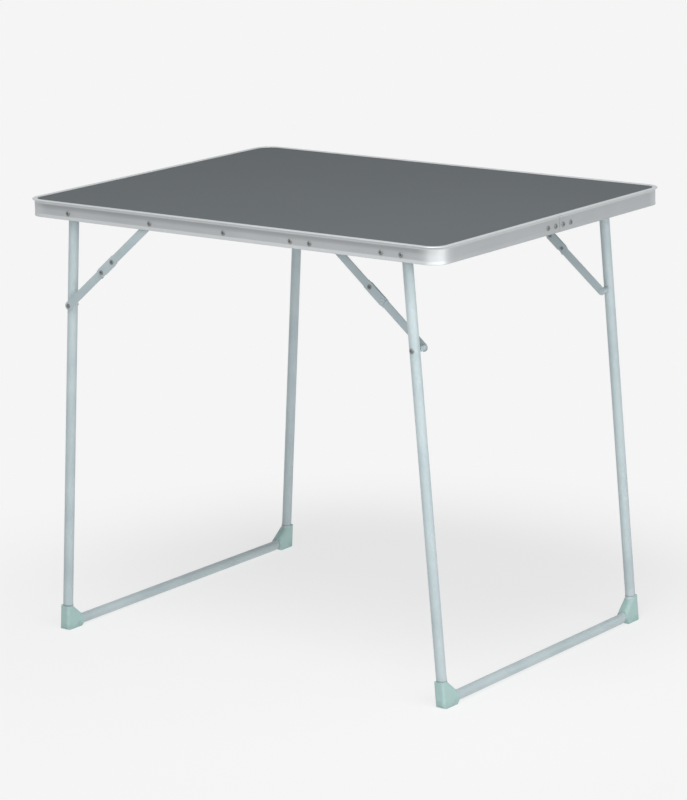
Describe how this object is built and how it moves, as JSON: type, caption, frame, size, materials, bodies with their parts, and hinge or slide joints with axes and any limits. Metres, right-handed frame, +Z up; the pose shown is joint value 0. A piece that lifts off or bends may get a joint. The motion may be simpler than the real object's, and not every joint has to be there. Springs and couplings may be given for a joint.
{
  "type": "camping table",
  "caption": "Folding camping table: a dark board in a bent metal rim, on bent-tube leg frames that fold flat under it on knee braces.",
  "frame": {"origin": "on the floor, under the middle of the top", "axes": "+X along the top from the wide leg frame to the narrow one, +Y across it from front to back, +Z up"},
  "size_m": [0.8, 0.6, 0.702],
  "materials": {
    "board": "matt dark grey laminate on fibreboard",
    "rim": "satin anodised profile",
    "leg_paint": "pale blue-grey powder coat on steel",
    "foot_plastic": "moulded, pale grey-green",
    "bright_sheet": "zinc-plated sheet and turned parts",
    "rivet": "zinc-plated rivet"
  },
  "bodies": {
    "top": {"table_board": "board", "edge_rim": "rim", "rim_splice_plate": "bright_sheet", "splice_rivets": "rivet", "stiffener_bar": "bright_sheet", "stiffener_rivets": "rivet", "leg_bracket_front": "bright_sheet", "leg_bracket_back": "bright_sheet", "brace_bracket_front": "bright_sheet", "brace_bracket_back": "bright_sheet", "bracket_rivets": "rivet", "wide_leg_pins": "rivet", "wide_leg_spacers": "bright_sheet", "wide_brace_pins": "rivet", "narrow_leg_pins": "rivet", "narrow_brace_pins": "rivet"},
    "narrow_frame": {"narrow_leg_tube": "leg_paint", "narrow_foot_front": "foot_plastic", "narrow_foot_back": "foot_plastic", "narrow_leg_rivets": "rivet"},
    "wide_frame": {"wide_leg_tube": "leg_paint", "wide_foot_front": "foot_plastic", "wide_foot_back": "foot_plastic", "wide_leg_rivets": "rivet"},
    "upper_brace_narrow_front": {"upper_link_narrow_front": "leg_paint", "knee_rivet_narrow_front": "rivet", "stop_pin_narrow_front": "rivet"},
    "lower_brace_narrow_front": {"lower_link_narrow_front": "leg_paint", "end_rivet_narrow_front": "rivet", "end_bush_narrow_front": "bright_sheet"},
    "upper_brace_narrow_back": {"upper_link_narrow_back": "leg_paint", "knee_rivet_narrow_back": "rivet", "stop_pin_narrow_back": "rivet"},
    "lower_brace_narrow_back": {"lower_link_narrow_back": "leg_paint", "end_rivet_narrow_back": "rivet", "end_bush_narrow_back": "bright_sheet"},
    "upper_brace_wide_front": {"upper_link_wide_front": "leg_paint", "knee_rivet_wide_front": "rivet", "stop_pin_wide_front": "rivet"},
    "lower_brace_wide_front": {"lower_link_wide_front": "leg_paint", "end_rivet_wide_front": "rivet", "end_washer_wide_front": "bright_sheet"},
    "upper_brace_wide_back": {"upper_link_wide_back": "leg_paint", "knee_rivet_wide_back": "rivet", "stop_pin_wide_back": "rivet"},
    "lower_brace_wide_back": {"lower_link_wide_back": "leg_paint", "end_rivet_wide_back": "rivet", "end_washer_wide_back": "bright_sheet"}
  },
  "joints": [
    {"name": "narrow_frame_fold", "type": "hinge", "parent": "top", "child": "narrow_frame", "pos_m": [0.312, 0, 0.6855], "axis": [0, 1, 0], "range_deg": [0, 94.42]},
    {"name": "wide_frame_fold", "type": "hinge", "parent": "top", "child": "wide_frame", "pos_m": [-0.312, 0, 0.6855], "axis": [0, -1, 0], "range_deg": [0, 94.42]},
    {"name": "upper_brace_narrow_front_turn", "type": "hinge", "parent": "top", "child": "upper_brace_narrow_front", "pos_m": [0.1455, -0.2363, 0.6855], "axis": [0, 1, 0], "range_deg": [0, 140.26]},
    {"name": "narrow_front_knee", "type": "hinge", "parent": "upper_brace_narrow_front", "child": "lower_brace_narrow_front", "pos_m": [0.22751, -0.2363, 0.61731], "axis": [0, -1, 0], "range_deg": [0, 180]},
    {"name": "upper_brace_narrow_back_turn", "type": "hinge", "parent": "top", "child": "upper_brace_narrow_back", "pos_m": [0.1455, 0.2363, 0.6855], "axis": [0, 1, 0], "range_deg": [0, 140.26]},
    {"name": "narrow_back_knee", "type": "hinge", "parent": "upper_brace_narrow_back", "child": "lower_brace_narrow_back", "pos_m": [0.22751, 0.2363, 0.61731], "axis": [0, -1, 0], "range_deg": [0, 180]},
    {"name": "upper_brace_wide_front_turn", "type": "hinge", "parent": "top", "child": "upper_brace_wide_front", "pos_m": [-0.1455, -0.2925, 0.6855], "axis": [0, -1, 0], "range_deg": [0, 140.26]},
    {"name": "wide_front_knee", "type": "hinge", "parent": "upper_brace_wide_front", "child": "lower_brace_wide_front", "pos_m": [-0.22751, -0.2925, 0.61731], "axis": [0, 1, 0], "range_deg": [0, 180]},
    {"name": "upper_brace_wide_back_turn", "type": "hinge", "parent": "top", "child": "upper_brace_wide_back", "pos_m": [-0.1455, 0.2925, 0.6855], "axis": [0, -1, 0], "range_deg": [0, 140.26]},
    {"name": "wide_back_knee", "type": "hinge", "parent": "upper_brace_wide_back", "child": "lower_brace_wide_back", "pos_m": [-0.22751, 0.2925, 0.61731], "axis": [0, 1, 0], "range_deg": [0, 180]}
  ],
  "couplings": [
    {"joint": "wide_frame_fold", "follows": "narrow_frame_fold", "ratio": 0.75},
    {"joint": "upper_brace_narrow_front_turn", "follows": "narrow_frame_fold", "ratio": 1.4854},
    {"joint": "narrow_front_knee", "follows": "narrow_frame_fold", "ratio": 1.9064},
    {"joint": "upper_brace_narrow_back_turn", "follows": "narrow_frame_fold", "ratio": 1.4854},
    {"joint": "narrow_back_knee", "follows": "narrow_frame_fold", "ratio": 1.9064},
    {"joint": "upper_brace_wide_front_turn", "follows": "narrow_frame_fold", "ratio": 1.1859},
    {"joint": "wide_front_knee", "follows": "narrow_frame_fold", "ratio": 1.5636},
    {"joint": "upper_brace_wide_back_turn", "follows": "narrow_frame_fold", "ratio": 1.1859},
    {"joint": "wide_back_knee", "follows": "narrow_frame_fold", "ratio": 1.5636}
  ]
}
